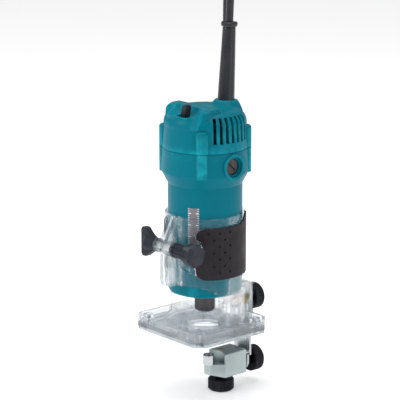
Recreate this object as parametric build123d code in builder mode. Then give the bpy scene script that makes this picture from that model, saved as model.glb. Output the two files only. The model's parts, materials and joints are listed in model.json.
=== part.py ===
"""Trim router with a clear split base, a trimmer guide and its mains cord.

Millimetres. The origin is where the spindle axis meets the sole.
+Z runs up the spindle, -Y is the clamp side and +X the right-hand side.
"""

import os
from math import cos, pi, radians, sin, tan

from build123d import *

os.makedirs("parts", exist_ok=True)

# ---- base ----
PLATE_X = 90.0
PLATE_FRONT = -45.5
PLATE_BACK = 37.5
PLATE_CHAMFER = 8.5
PROTECTOR_H = 3.0
PROTECTOR_INSET = 0.4
WEB_TOP = 6.5
RIM_TOP = 11.5
RIM_WALL = 2.6
OPENING_R = 15.5
OPENING_LIP_R = 18.0
OPENING_LIP_TOP = 9.0
SLEEVE_R = 34.5
SLEEVE_BORE_R = 32.35
SLEEVE_TOP = 105.5
WINDOW_TOP = 45.5
WINDOW_HALF_X = 33.6
WINDOW_CORNER = 14.0
WINDOW_EDGE_Y = -11.5
SPLIT_HALF = 1.3
SCREW_X = 34.5
SCREW_YS = (-35.5, 27.0)
SCREW_BOSS_R = 4.6
SCREW_R = 1.6
SCREW_HEAD_R = 3.9
GRIP_Z = (52.5, 97.5)
GRIP_HALF_Y = 27.8
GRIP_CORNER = 6.0
GRIP_BACK_TOP = 104.4
GRIP_R_IN = 33.4
GRIP_R_OUT = 35.3
GRIP_NOTCH_R = 11.0
GRIP_GAP = 0.1
DIMPLE_STEP_ANGLE = 8.1
DIMPLE_STEP_Z = 5.75
DIMPLE_R = 1.0
DIMPLE_MIDDLE_Z = 76.2
DIMPLE_REACH = 38.0
DIMPLE_DEPTH = 0.9

# ---- clamp across the split ----
CLAMP_Y = -43.0
CLAMP_Z = 80.0
LUG_HALF = 5.2
LUG_BOSS_R = 6.4
LUG_BOSS_END = 10.0
CLAMP_ROD_R = 2.5
CLAMP_HOLE_R = 2.8
WING_THICK = 6.4

# ---- rear pad and trimmer guide ----
PAD_HALF_X = 10.4
PAD_FACE_Y = 42.9
PAD_CHEEK_X = 13.0
PAD_CHEEK_Y = 44.6
PAD_TOP = 36.5
ARM_HALF_X = 10.3
ARM_Y = (43.1, 45.1)
ARM_TOP = 35.0
ARM_WIDE_BOTTOM = -32.0
ARM_SLOT_HALF = 3.3
ARM_SLOT_Z = (2.0, 27.0)
KNOB_R = 11.5
KNOB_H = 10.8
KNOB_HUB_R = 5.4
KNOB_FACE_Y = 50.3
KNOB_GROOVES = 26
STUD_R = 3.0
STUD_BORE_R = 3.1
SCREW_A_Z = 18.5
ADJUST_Z = -39.2
ARM_FOOT_R = 7.4
BLOCK_HALF_X = 11.0
BLOCK_Y = (13.8, 39.0)
BLOCK_Z = (-46.5, -25.2)
NOSE_TOP = -34.2
NOSE_TIP_BOTTOM = -42.0
NOSE_TIP_R = 4.0
ROLLER_Y = 4.2
ROLLER_R = 5.0
ROLLER_Z = (-34.0, -25.3)
RELIEF_R = 14.6
RELIEF_Y = 3.0
SCREW_B_Y = 18.6
GUIDE_PIN_R = 1.5
GUIDE_PIN_X = 7.6
GUIDE_PIN_Z = -29.5
KNOB_B_TOP = -49.4

# ---- motor unit ----
MOTOR_R = 32.0
MOTOR_BOTTOM = 35.0
MOTOR_WALL = 2.8
FOOT_COLLAR = (11.0, 33.6)
NECK_Z = (131.0, 141.0)
HEAD_R_LOW = 37.6
HEAD_R_PART = 36.6
SEAM_R = 36.0
SEAM_HEIGHT = 0.5
PARTING_Z = 162.0
SHOULDER_R = 35.3
SHOULDER_Z = 181.0
HEAD_TOP_R = 25.0
HEAD_TOP_Z = 195.3
CROWN_Z = 196.3
PILLAR_PCR = 33.5
PILLAR_R = 5.8
PILLAR_BOTTOM = 140.5
PILLAR_TOP = 181.0
COVER_SCREW_R = 1.9
COVER_HEAD_R = 3.2
TURRET_R = 33.9
TURRET_TOP = 198.2
SCOOP_R = 12.0
SCOOP_Y = -27.0
SCOOP_Z = 202.5
SCOOP_HALF = 8.5
COVER_WALL = 2.5
VALLEY_R = 7.0
VALLEY_ANGLE = 33.0
VENT_COUNT = 7
VENT_STEP = 9.2
VENT_WIDTH = 3.0
VENT_Z = (169.8, 191.5)
VENT_R = (26.5, 45.0)
BAFFLE_R = (29.6, 30.6)
BAFFLE_Z = (163.0, 186.5)
BRUSH_Z = 149.4
BRUSH_BOSS_R = 11.2
CAP_R = 7.0
CAP_X = (29.6, 33.6)
SCALE_ANGLE = -58.9
SCALE_HALF = 8.7
SCALE_Z = (66.0, 114.4)

# ---- spindle line ----
SHAFT_TOP = 168.5
BEARING_LOW_Z = (38.5, 46.5)
BEARING_LOW_R = 13.0
BEARING_TOP_Z = (160.0, 167.0)
BEARING_TOP_R = 11.0
RUN_GAP = 0.04
NUT_Z = (16.6, 33.2)
NUT_FLATS = 17.0
SHANK_R = 3.0
CORE_Z = (72.0, 116.0)
FIELD_Z = (70.0, 118.0)
FIELD_R = 28.9
FIELD_BORE_R = 18.3
ARMATURE_R = 17.7

# ---- switch lever ----
LEVER_PIVOT_Z = 180.0
LEVER_Y = -25.0
LEVER_LEAN = 15.7
LEVER_TOP = 201.5

# ---- cord ----
GUARD_BASE = Vector(0, 23.4, 197.0)
GUARD_LEAN = 3.1
GUARD_LENGTH = 68.6
CORD_R = 3.25
CORD_RISE = 75.0
ARCH_SPAN = 74.0
AWAY = Vector(-0.7466, 0.6653, 0)
ACROSS = Vector(0.6653, 0.7466, 0)
HANK_TOP = 154.0
HANK_BOTTOM = 5.0
HANK_FOLD_R = 20.0
HANK_LAYERS = 5
TIE_Z = 120.0
TIE_WALL = 1.5
PLUG_TOP = 93.0
PLUG_SIZE = (24.0, 15.0)
PLUG_X = 11.0


def wall_profile(points):
    """A closed profile in the XZ plane, turned about the Z axis."""
    with BuildPart() as turned:
        with BuildSketch(Plane.XZ):
            with BuildLine():
                Polyline(*points, close=True)
            make_face()
        revolve(axis=Axis.Z)
    return turned.part


def sector(r_in, r_out, middle, half, z_low, z_high):
    """A piece of a tube wall, centred on an angle in degrees."""
    with BuildPart() as piece:
        with BuildSketch(Plane.XY.offset(z_low)):
            with BuildLine():
                outer = CenterArc((0, 0), r_out, middle - half, 2 * half)
                inner = CenterArc((0, 0), r_in, middle - half, 2 * half)
                Line(outer @ 0, inner @ 0)
                Line(outer @ 1, inner @ 1)
            make_face()
        extrude(amount=z_high - z_low)
    return piece.part


def rod(start, direction, radius, length):
    """A plain round bar from a point along a direction."""
    plane = Plane(origin=start, z_dir=direction)
    with BuildPart() as bar:
        with BuildSketch(plane):
            Circle(radius)
        extrude(amount=length)
    return bar.part


def plate_outline(inset):
    """The chamfered outline of the base plate."""
    with BuildSketch() as outline:
        with Locations((0, (PLATE_FRONT + PLATE_BACK) / 2)):
            Rectangle(PLATE_X - 2 * inset, PLATE_BACK - PLATE_FRONT - 2 * inset)
        chamfer(outline.vertices(), PLATE_CHAMFER - 0.5 * inset)
    return outline.sketch


def knurled_knob(height):
    """A round knob with grooves; its inner face is at z=0, its hub below."""
    with BuildPart() as knob:
        with BuildSketch():
            Circle(KNOB_R)
            with PolarLocations(KNOB_R + 0.35, KNOB_GROOVES):
                Circle(0.9, mode=Mode.SUBTRACT)
        extrude(amount=height)
        with BuildSketch(Plane.XZ):
            with BuildLine():
                Polyline(
                    (0, 0),
                    (KNOB_R - 1.3, 0),
                    (KNOB_R + 0.1, 1.3),
                    (KNOB_R + 0.1, height - 1.6),
                    (KNOB_R - 1.6, height),
                    (KNOB_R - 3.0, height),
                    (KNOB_R - 3.4, height - 0.5),
                    (0, height - 0.5),
                    close=True,
                )
            make_face()
        revolve(axis=Axis.Z, mode=Mode.INTERSECT)
    return knob.part


def save(solid, name):
    """Labels a solid and writes its STEP file."""
    solid.label = name
    export_step(solid, f"parts/{name}.step")
    print(name, round(solid.volume, 1))


screw_places = [(sx * SCREW_X, y) for sx in (-1, 1) for y in SCREW_YS]

# ---------------------------------------------------------------- base shell
lug_profile = [
    (-33.0, 46.5),
    (-45.0, 46.5),
    (-46.3, 52.0),
    (-46.3, 74.0),
    (-46.0, 88.0),
    (-41.0, 97.0),
    (-36.8, SLEEVE_TOP),
    (-33.0, SLEEVE_TOP),
]

with BuildPart() as gusset_pair:
    with BuildSketch(Plane.XZ.offset(20.0)):
        for side in (-1, 1):
            with BuildLine():
                Polyline(
                    (side * 4.0, 66.0),
                    (side * 4.0, 74.0),
                    (side * 17.0, 61.0),
                    (side * 17.0, 58.0),
                    close=True,
                )
            make_face()
    extrude(amount=20.0)
gussets = gusset_pair.part & sector(SLEEVE_R - 1, SLEEVE_R + 2.4, -90, 40, 50, 80)

with BuildPart() as base_shell:
    with BuildSketch(Plane.XY.offset(PROTECTOR_H)):
        add(plate_outline(0))
    extrude(amount=RIM_TOP - PROTECTOR_H)
    with BuildSketch(Plane.XY.offset(WEB_TOP)):
        add(plate_outline(RIM_WALL))
    extrude(amount=RIM_TOP, mode=Mode.SUBTRACT)
    # stiffening ribs from the sleeve's foot to the rim
    with BuildSketch(Plane.XY.offset(WEB_TOP)):
        for side in (-1, 1):
            with Locations((side * 39.0, -4.0)):
                Rectangle(10.0, 1.8)
            with Locations((side * 16.0, -38.5)):
                Rectangle(1.8, 10.0)
            with Locations((side * 24.0, -35.0)):
                Rectangle(1.8, 17.0)
            with Locations((side * 36.0, 12.0)):
                Rectangle(14.0, 1.8)
    extrude(amount=RIM_TOP - WEB_TOP - 1.2)
    # screw bosses
    with BuildSketch(Plane.XY.offset(WEB_TOP)):
        with Locations(*screw_places):
            Circle(SCREW_BOSS_R)
    extrude(amount=RIM_TOP - WEB_TOP)
    # sleeve
    with BuildSketch(Plane.XY.offset(PROTECTOR_H)):
        Circle(SLEEVE_R)
    extrude(amount=SLEEVE_TOP - PROTECTOR_H)
    # clamp lugs
    with BuildSketch(Plane.YZ.offset(-LUG_HALF)):
        with BuildLine():
            Polyline(*lug_profile, close=True)
        make_face()
    extrude(amount=2 * LUG_HALF)
    with BuildSketch(Plane.YZ.offset(-LUG_BOSS_END)):
        with Locations((CLAMP_Y, CLAMP_Z)):
            Circle(LUG_BOSS_R)
    extrude(amount=2 * LUG_BOSS_END)
    # sloping gussets beside the lugs
    add(gussets)
    # rear pad with a shallow channel for the guide arm
    with BuildSketch(Plane.XY.offset(PROTECTOR_H)):
        with Locations((0, (30.0 + PAD_CHEEK_Y) / 2)):
            Rectangle(2 * PAD_CHEEK_X, PAD_CHEEK_Y - 30.0)
    extrude(amount=PAD_TOP - PROTECTOR_H)
    with BuildSketch(Plane.XY.offset(PROTECTOR_H)):
        with Locations((0, (PAD_FACE_Y + PAD_CHEEK_Y + 1) / 2)):
            Rectangle(2 * PAD_HALF_X, PAD_CHEEK_Y + 1 - PAD_FACE_Y)
    extrude(amount=PAD_TOP, mode=Mode.SUBTRACT)
    # motor bore, opening and its lip
    with BuildSketch(Plane.XY.offset(WEB_TOP)):
        Circle(SLEEVE_BORE_R)
    extrude(amount=SLEEVE_TOP, mode=Mode.SUBTRACT)
    with BuildSketch(Plane.XY.offset(WEB_TOP)):
        Circle(OPENING_LIP_R)
    extrude(amount=OPENING_LIP_TOP - WEB_TOP)
    with BuildSketch():
        Circle(OPENING_R)
    extrude(amount=OPENING_LIP_TOP, mode=Mode.SUBTRACT)
    # window at the front
    with BuildSketch(Plane.XZ.offset(-WINDOW_EDGE_Y)) as window:
        with Locations((0, (RIM_TOP + WINDOW_TOP) / 2)):
            Rectangle(2 * WINDOW_HALF_X, WINDOW_TOP - RIM_TOP)
        fillet(window.vertices().sort_by(Axis.Y)[-2:], WINDOW_CORNER)
    extrude(amount=30.0, mode=Mode.SUBTRACT)
    # split
    with BuildSketch(Plane.XY.offset(WINDOW_TOP - 1)):
        with Locations((0, -41.0)):
            Rectangle(2 * SPLIT_HALF, 24.0)
    extrude(amount=SLEEVE_TOP, mode=Mode.SUBTRACT)
    # holes
    with BuildSketch(Plane.YZ.offset(-20)):
        with Locations((CLAMP_Y, CLAMP_Z)):
            Circle(CLAMP_HOLE_R)
    extrude(amount=40, mode=Mode.SUBTRACT)
    with BuildSketch(Plane.XY.offset(PROTECTOR_H)):
        with Locations(*screw_places):
            Circle(SCREW_R)
    extrude(amount=RIM_TOP, mode=Mode.SUBTRACT)
    with BuildSketch(Plane.XZ.offset(-36.0)):
        with Locations((0, SCREW_A_Z)):
            Circle(4.5)
    extrude(amount=-10, mode=Mode.SUBTRACT)

# ------------------------------------------------------------ base protector
with BuildPart() as base_protector:
    with BuildSketch():
        add(plate_outline(PROTECTOR_INSET))
        Circle(OPENING_R, mode=Mode.SUBTRACT)
    extrude(amount=PROTECTOR_H)
    with BuildSketch():
        with Locations(*screw_places):
            Circle(SCREW_R + 0.5)
    extrude(amount=PROTECTOR_H, mode=Mode.SUBTRACT)
    with Locations(*[(x, y, 1.2) for x, y in screw_places]):
        Cone(SCREW_HEAD_R + 0.1, SCREW_R + 0.4, 2.4, mode=Mode.SUBTRACT)
save(base_protector.part, "base_protector")

with BuildPart() as one_screw:
    Cone(SCREW_HEAD_R - 0.25, SCREW_R - 0.05, 2.2, align=(Align.CENTER, Align.CENTER, Align.MIN))
    Cylinder(SCREW_R - 0.05, 9.5, align=(Align.CENTER, Align.CENTER, Align.MIN))
    for turn in (0, 90):
        with Locations(Location((0, 0, 0.4), (0, 0, turn))):
            Box(4.0, 0.9, 1.6, mode=Mode.SUBTRACT)
with BuildPart() as plate_screws:
    with Locations(*[(x, y, 0.2) for x, y in screw_places]):
        add(one_screw.part)
save(plate_screws.part, "plate_screws")

# ---------------------------------------------------------------- grips
def grip_outline(clearance):
    """Side-view outline of the right grip, notched for the clamp."""
    with BuildPart() as block:
        with BuildSketch(Plane.YZ) as side_view:
            with BuildLine():
                Polyline(
                    (-GRIP_HALF_Y, GRIP_Z[0]),
                    (GRIP_HALF_Y, GRIP_Z[0]),
                    (GRIP_HALF_Y, GRIP_BACK_TOP),
                    (GRIP_HALF_Y - 6.0, GRIP_BACK_TOP),
                    (GRIP_HALF_Y - 13.0, GRIP_Z[1]),
                    (-GRIP_HALF_Y, GRIP_Z[1]),
                    close=True,
                )
            make_face()
            fillet(side_view.vertices().group_by(Axis.X)[0], GRIP_CORNER)
            fillet(side_view.vertices().group_by(Axis.Y)[0].sort_by(Axis.X)[-1], GRIP_CORNER)
            with Locations((-GRIP_HALF_Y - 7.0, CLAMP_Z)):
                Circle(GRIP_NOTCH_R, mode=Mode.SUBTRACT)
            if clearance:
                offset(amount=clearance)
        extrude(amount=SLEEVE_R + 4)
    return block.part


dimples = []
for row in range(7):
    z = DIMPLE_MIDDLE_Z + DIMPLE_STEP_Z * (row - 3)
    shift = 0.5 if row % 2 == 1 else 0.0
    for column in range(-3, 1):
        angle = DIMPLE_STEP_ANGLE * 2 * (column + shift - 0.25)
        beside_notch = angle < -30 and row < 6
        if -DIMPLE_REACH < angle < 0 and not beside_notch:
            dimples.append((angle, z))

grip_recess = sector(GRIP_R_IN, SLEEVE_R + 5, 0, 60, 50, 105) & grip_outline(GRIP_GAP)
grip_body = sector(GRIP_R_IN + 0.02, GRIP_R_OUT, 0, 60, 50, 105) & grip_outline(0)
pits = [
    rod(
        ((GRIP_R_OUT - DIMPLE_DEPTH) * cos(radians(a)), (GRIP_R_OUT - DIMPLE_DEPTH) * sin(radians(a)), z),
        (cos(radians(a)), sin(radians(a)), 0),
        DIMPLE_R,
        3.0,
    )
    for a, z in dimples
]
with BuildPart() as right_grip:
    add(grip_body)
    add(pits, mode=Mode.SUBTRACT)
save(right_grip.part, "right_grip")
with BuildPart() as left_grip:
    add(mirror(right_grip.part, about=Plane.YZ))
save(left_grip.part, "left_grip")

with BuildPart() as shell_with_recesses:
    add(base_shell.part)
    add(grip_recess, mode=Mode.SUBTRACT)
    add(mirror(grip_recess, about=Plane.YZ), mode=Mode.SUBTRACT)
save(shell_with_recesses.part, "base_shell")

# ------------------------------------------------------- threaded insert
with BuildPart() as pad_insert:
    with BuildSketch(Plane.XZ.offset(-36.3)):
        with Locations((0, SCREW_A_Z)):
            Circle(4.45)
            Circle(STUD_BORE_R, mode=Mode.SUBTRACT)
    extrude(amount=-6.5)
save(pad_insert.part, "pad_insert")

# ---------------------------------------------------------------- clamp
with BuildPart() as wing_knob:
    with BuildSketch(Plane.XZ.offset(-CLAMP_Y - WING_THICK / 2)) as wing_outline:
        with BuildLine():
            Polyline(
                (-31.0, CLAMP_Z + 11.0),
                (-29.5, CLAMP_Z + 13.0),
                (-24.5, CLAMP_Z + 12.6),
                (-20.5, CLAMP_Z + 8.6),
                (-15.5, CLAMP_Z + 5.6),
                (-12.5, CLAMP_Z + 5.0),
                (-12.5, CLAMP_Z - 5.0),
                (-15.5, CLAMP_Z - 6.2),
                (-20.5, CLAMP_Z - 9.6),
                (-24.5, CLAMP_Z - 12.4),
                (-29.5, CLAMP_Z - 12.8),
                (-31.0, CLAMP_Z - 10.6),
                close=True,
            )
        make_face()
        fillet(wing_outline.vertices().sort_by(Axis.X)[:-4], 1.4)
    extrude(amount=WING_THICK)
    chamfer(wing_knob.faces().filter_by(Axis.Y).edges(), 0.8)
    with Locations(Location((-24.0, CLAMP_Y, CLAMP_Z), (0, 90, 0))):
        Cone(7.4, 4.9, 11.5, align=(Align.CENTER, Align.CENTER, Align.MIN))
    with Locations(Location((-12.5, CLAMP_Y, CLAMP_Z), (0, 90, 0))):
        Cylinder(5.6, 2.2, align=(Align.CENTER, Align.CENTER, Align.MIN))
    add(rod((-21.0, CLAMP_Y, CLAMP_Z), (1, 0, 0), CLAMP_ROD_R, 15), mode=Mode.SUBTRACT)
save(wing_knob.part, "wing_knob")

clamp_rod = rod((-21.0, CLAMP_Y, CLAMP_Z), (1, 0, 0), CLAMP_ROD_R, 48.0)
save(clamp_rod, "clamp_rod")

with BuildPart() as thumb_nut:
    with BuildSketch(Plane.YZ.offset(10.3)):
        with Locations((CLAMP_Y, CLAMP_Z)):
            Circle(6.3)
            with PolarLocations(6.9, 10):
                Circle(1.3, mode=Mode.SUBTRACT)
    extrude(amount=18.0)
    with BuildSketch(Plane.YZ.offset(10.3)):
        with Locations((CLAMP_Y, CLAMP_Z)):
            Circle(6.5)
    extrude(amount=3.4)
    with BuildSketch(Plane.YZ.offset(26.0)):
        with Locations((CLAMP_Y, CLAMP_Z)):
            Circle(6.2)
    with BuildSketch(Plane.YZ.offset(30.0)):
        with Locations((CLAMP_Y, CLAMP_Z)):
            Circle(9.2)
    loft()
    with BuildSketch(Plane.YZ.offset(30.0)):
        with Locations(Location((CLAMP_Y, CLAMP_Z), 15)):
            hexagon = RegularPolygon(9.3, 6, major_radius=False)
            fillet(hexagon.vertices(), 3.5)
    extrude(amount=9.0)
    chamfer(thumb_nut.faces().sort_by(Axis.X)[-1].edges(), 1.2)
    add(rod((10.3, CLAMP_Y, CLAMP_Z), (1, 0, 0), CLAMP_ROD_R + 0.1, 18), mode=Mode.SUBTRACT)
save(thumb_nut.part, "thumb_nut")

# ---------------------------------------------------------------- guide arm
with BuildPart() as guide_arm:
    with BuildSketch(Plane.XZ.offset(-ARM_Y[0])):
        with Locations((0, (ARM_TOP + ARM_WIDE_BOTTOM) / 2)):
            Rectangle(2 * ARM_HALF_X, ARM_TOP - ARM_WIDE_BOTTOM)
        with Locations((0, (ARM_WIDE_BOTTOM + ADJUST_Z) / 2)):
            Rectangle(2 * ARM_FOOT_R, ARM_WIDE_BOTTOM - ADJUST_Z + 0.02)
        with Locations((0, ADJUST_Z)):
            Circle(ARM_FOOT_R)
            Circle(STUD_BORE_R, mode=Mode.SUBTRACT)
        with Locations((0, (ARM_SLOT_Z[0] + ARM_SLOT_Z[1]) / 2)):
            SlotOverall(ARM_SLOT_Z[1] - ARM_SLOT_Z[0], 2 * ARM_SLOT_HALF, rotation=90, mode=Mode.SUBTRACT)
        with Locations((-GUIDE_PIN_X, GUIDE_PIN_Z), (GUIDE_PIN_X, GUIDE_PIN_Z)):
            Circle(GUIDE_PIN_R, mode=Mode.SUBTRACT)
    extrude(amount=-(ARM_Y[1] - ARM_Y[0]))
    corners = guide_arm.edges().filter_by(Axis.Y).group_by(Axis.Z)
    fillet(corners[-1], 3.0)
save(guide_arm.part, "guide_arm")

with BuildPart() as guide_pins:
    for side in (-1, 1):
        add(rod((side * GUIDE_PIN_X, 28.0, GUIDE_PIN_Z), (0, 1, 0), GUIDE_PIN_R, ARM_Y[1] - 28.0))
save(guide_pins.part, "guide_pins")

# -------------------------------------------------- knobs and their studs
with BuildPart() as knob_blank:
    add(knurled_knob(KNOB_H))
    Cylinder(KNOB_HUB_R, KNOB_FACE_Y - ARM_Y[1] - 0.5, align=(Align.CENTER, Align.CENTER, Align.MAX))
    Cylinder(STUD_R, 12.0, mode=Mode.SUBTRACT)
for label, z, tip in (("a", SCREW_A_Z, 37.0), ("adjust", ADJUST_Z, 26.0)):
    out_y = Plane(origin=(0, KNOB_FACE_Y, z), x_dir=(1, 0, 0), z_dir=(0, 1, 0))
    save(out_y.location * knob_blank.part, f"knob_{label}")
    save(rod((0, tip, z), (0, 1, 0), STUD_R, KNOB_FACE_Y + 6.0 - tip), f"stud_{label}")

with BuildPart() as knob_b:
    add(knurled_knob(KNOB_H))
    Cylinder(KNOB_HUB_R, BLOCK_Z[0] - KNOB_B_TOP - 0.4, align=(Align.CENTER, Align.CENTER, Align.MAX))
    Cylinder(STUD_R, 12.0, mode=Mode.SUBTRACT)
facing_down = Plane(origin=(0, SCREW_B_Y, KNOB_B_TOP), x_dir=(1, 0, 0), z_dir=(0, 0, -1))
save(facing_down.location * knob_b.part, "knob_b")
save(rod((0, SCREW_B_Y, KNOB_B_TOP - 6.0), (0, 0, 1), STUD_R, 19.4), "stud_b")

# ---------------------------------------------------------------- guide block
with BuildPart() as guide_block:
    with BuildSketch(Plane.XY.offset(BLOCK_Z[0])):
        with Locations((0, (BLOCK_Y[0] + BLOCK_Y[1]) / 2)):
            Rectangle(2 * BLOCK_HALF_X, BLOCK_Y[1] - BLOCK_Y[0])
    extrude(amount=BLOCK_Z[1] - BLOCK_Z[0])
    fillet(guide_block.edges().filter_by(Axis.Z), 0.9)
    chamfer(guide_block.faces().sort_by(Axis.Z)[-1].edges(), 0.6)
    with BuildSketch(Plane.XY.offset(BLOCK_Z[0])):
        with BuildLine():
            Polyline(
                (-BLOCK_HALF_X, BLOCK_Y[0] + 4),
                (-BLOCK_HALF_X, BLOCK_Y[0] + 0.4),
                (-NOSE_TIP_R + 0.4, ROLLER_Y - 1.5),
                (NOSE_TIP_R - 0.4, ROLLER_Y - 1.5),
                (BLOCK_HALF_X, BLOCK_Y[0] + 0.4),
                (BLOCK_HALF_X, BLOCK_Y[0] + 4),
                close=True,
            )
        make_face()
        with Locations((0, ROLLER_Y)):
            Circle(NOSE_TIP_R)
    extrude(amount=NOSE_TOP - BLOCK_Z[0])
    # the nose thins towards its tip
    with BuildSketch(Plane.YZ.offset(-15)):
        with BuildLine():
            Polyline(
                (-2.0, BLOCK_Z[0] - 1),
                (BLOCK_Y[0], BLOCK_Z[0] - 1),
                (BLOCK_Y[0], BLOCK_Z[0]),
                (-2.0, NOSE_TIP_BOTTOM),
                close=True,
            )
        make_face()
    extrude(amount=30, mode=Mode.SUBTRACT)
    # hollow behind the roller
    with BuildSketch(Plane.XY.offset(NOSE_TOP)):
        with Locations((0, RELIEF_Y)):
            Circle(RELIEF_R)
    extrude(amount=12, mode=Mode.SUBTRACT)
    # bores
    add(rod((0, 22.6, ADJUST_Z), (0, 1, 0), STUD_BORE_R + 0.05, 20), mode=Mode.SUBTRACT)
    for side in (-1, 1):
        pin_bore = rod((side * GUIDE_PIN_X, 24.0, GUIDE_PIN_Z), (0, 1, 0), GUIDE_PIN_R + 0.2, 20)
        add(pin_bore, mode=Mode.SUBTRACT)
    add(rod((0, SCREW_B_Y, BLOCK_Z[0] - 1), (0, 0, 1), STUD_BORE_R, 12), mode=Mode.SUBTRACT)
    add(rod((0, ROLLER_Y, -41.5), (0, 0, 1), 1.95, 10), mode=Mode.SUBTRACT)
    add(rod((-3.0, 22.4, -33.0), (0, 0, 1), 2.4, 10), mode=Mode.SUBTRACT)
save(guide_block.part, "guide_block")

with BuildPart() as set_screw:
    add(rod((-3.0, 22.4, -33.0), (0, 0, 1), 2.35, 7.3))
    with Locations((-3.0, 22.4, -25.7)):
        Box(6.0, 0.8, 1.6, mode=Mode.SUBTRACT)
save(set_screw.part, "set_screw")

with BuildPart() as roller_screw:
    add(rod((0, ROLLER_Y, -41.5), (0, 0, 1), 1.95, 14.4))
    add(rod((0, ROLLER_Y, -27.3), (0, 0, 1), 3.0, 1.4))
    with BuildSketch(Plane.XY.offset(-26.9)):
        with Locations((0, ROLLER_Y)):
            RegularPolygon(1.5, 6)
    extrude(amount=3, mode=Mode.SUBTRACT)
save(roller_screw.part, "roller_screw")

with BuildPart() as guide_roller:
    add(rod((0, ROLLER_Y, ROLLER_Z[0]), (0, 0, 1), ROLLER_R, ROLLER_Z[1] - ROLLER_Z[0]))
    chamfer(guide_roller.edges().group_by(Axis.Z)[-1], 0.5)
    add(rod((0, ROLLER_Y, -36), (0, 0, 1), 2.05, 12), mode=Mode.SUBTRACT)
    add(rod((0, ROLLER_Y, -27.4), (0, 0, 1), 3.3, 4), mode=Mode.SUBTRACT)
save(guide_roller.part, "guide_roller")

# ---------------------------------------------------------------- motor housing
pillar_angles = (45, 135, 225, 315)
pillar_spots = [
    (PILLAR_PCR * cos(radians(a)), PILLAR_PCR * sin(radians(a))) for a in pillar_angles
]
scale_pocket = sector(
    31.85, MOTOR_R + 1, SCALE_ANGLE, SCALE_HALF + 0.05, SCALE_Z[0] - 0.05, SCALE_Z[1] + 0.05
)
rating_pocket = sector(31.85, MOTOR_R + 1, 180, 22.05, 109.95, 127.05)


def head_cylinder(x_from, x_to, radius):
    """Round bars along X on both sides at brush height."""
    with BuildPart() as pair:
        add(rod((x_from, 0, BRUSH_Z), (1, 0, 0), radius, x_to - x_from))
        add(rod((-x_from, 0, BRUSH_Z), (-1, 0, 0), radius, x_to - x_from))
    return pair.part


housing_outside = wall_profile(
    [
        (0, MOTOR_BOTTOM),
        (MOTOR_R - 3.4, MOTOR_BOTTOM),
        (MOTOR_R - 1.0, MOTOR_BOTTOM + 1.0),
        (MOTOR_R, MOTOR_BOTTOM + 3.4),
        (MOTOR_R, NECK_Z[0]),
        (HEAD_R_LOW - 0.8, NECK_Z[1] - 1.0),
        (HEAD_R_LOW, NECK_Z[1] + 1.0),
        (HEAD_R_PART, PARTING_Z),
        (0, PARTING_Z),
    ]
)
housing_hollow = wall_profile(
    [
        (0, BEARING_LOW_Z[1] + 1.0),
        (15.8, BEARING_LOW_Z[1] + 1.0),
        (15.8, 39.0),
        (MOTOR_R - MOTOR_WALL, 39.0),
        (MOTOR_R - MOTOR_WALL, NECK_Z[0] + 0.8),
        (HEAD_R_LOW - MOTOR_WALL - 0.4, NECK_Z[1]),
        (HEAD_R_PART - MOTOR_WALL, PARTING_Z),
        (0, PARTING_Z),
    ]
)
head_limit = wall_profile(
    [(0, NECK_Z[0]), (40, NECK_Z[0]), (40, PARTING_Z), (0, PARTING_Z)]
)

with BuildPart() as motor_housing:
    add(housing_outside)
    add(housing_hollow, mode=Mode.SUBTRACT)
    # cover screw pillars
    with BuildSketch(Plane.XY.offset(PILLAR_BOTTOM)):
        with Locations(*pillar_spots):
            Circle(PILLAR_R)
    extrude(amount=PARTING_Z - PILLAR_BOTTOM)
    with BuildSketch(Plane.XY.offset(PILLAR_BOTTOM)):
        with Locations(*pillar_spots):
            Circle(COVER_HEAD_R)
    extrude(amount=8.5, mode=Mode.SUBTRACT)
    with BuildSketch(Plane.XY.offset(PILLAR_BOTTOM)):
        with Locations(*pillar_spots):
            Circle(COVER_SCREW_R)
    extrude(amount=PARTING_Z, mode=Mode.SUBTRACT)
    # brush cap bosses
    add(head_cylinder(25.5, 37.9, BRUSH_BOSS_R) & head_limit)
    add(head_cylinder(28.5, 45, CAP_R + 0.2), mode=Mode.SUBTRACT)
    add(head_cylinder(35.6, 45, CAP_R + 1.9), mode=Mode.SUBTRACT)
    with Locations((0, 0, BRUSH_Z)):
        Box(66, 8.6, 8.6, mode=Mode.SUBTRACT)
    # collar round the spindle, lower bearing seat and spindle opening
    with BuildSketch(Plane.XY.offset(FOOT_COLLAR[1])):
        Circle(FOOT_COLLAR[0])
    extrude(amount=MOTOR_BOTTOM + 1 - FOOT_COLLAR[1])
    add(rod((0, 0, BEARING_LOW_Z[0]), (0, 0, 1), BEARING_LOW_R + 0.02, 20), mode=Mode.SUBTRACT)
    add(rod((0, 0, FOOT_COLLAR[1] - 1), (0, 0, 1), 9.0, 10), mode=Mode.SUBTRACT)
    # air outlets round the foot
    for angle in range(0, 360, 30):
        add(sector(17.5, 26.5, angle, 7.0, MOTOR_BOTTOM - 1, 40.0), mode=Mode.SUBTRACT)
    add(scale_pocket, mode=Mode.SUBTRACT)
    add(rating_pocket, mode=Mode.SUBTRACT)
    # shadow groove below the parting line
    with BuildSketch(Plane.XY.offset(PARTING_Z - SEAM_HEIGHT)):
        Circle(SEAM_R + 10.0)
        Circle(SEAM_R, mode=Mode.SUBTRACT)
    extrude(amount=SEAM_HEIGHT, mode=Mode.SUBTRACT)
save(motor_housing.part, "motor_housing")

with BuildPart() as depth_scale:
    add(sector(31.87, 32.12, SCALE_ANGLE, SCALE_HALF, *SCALE_Z))
save(depth_scale.part, "depth_scale")
rating_plate = sector(31.87, 32.05, 180, 22.0, 110.0, 127.0)
save(rating_plate, "rating_plate")

# ---------------------------------------------------------------- rear cover
guard_axis = Vector(0, sin(radians(GUARD_LEAN)), cos(radians(GUARD_LEAN)))
guard_plane = Plane(origin=GUARD_BASE, x_dir=(1, 0, 0), z_dir=guard_axis)


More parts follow.
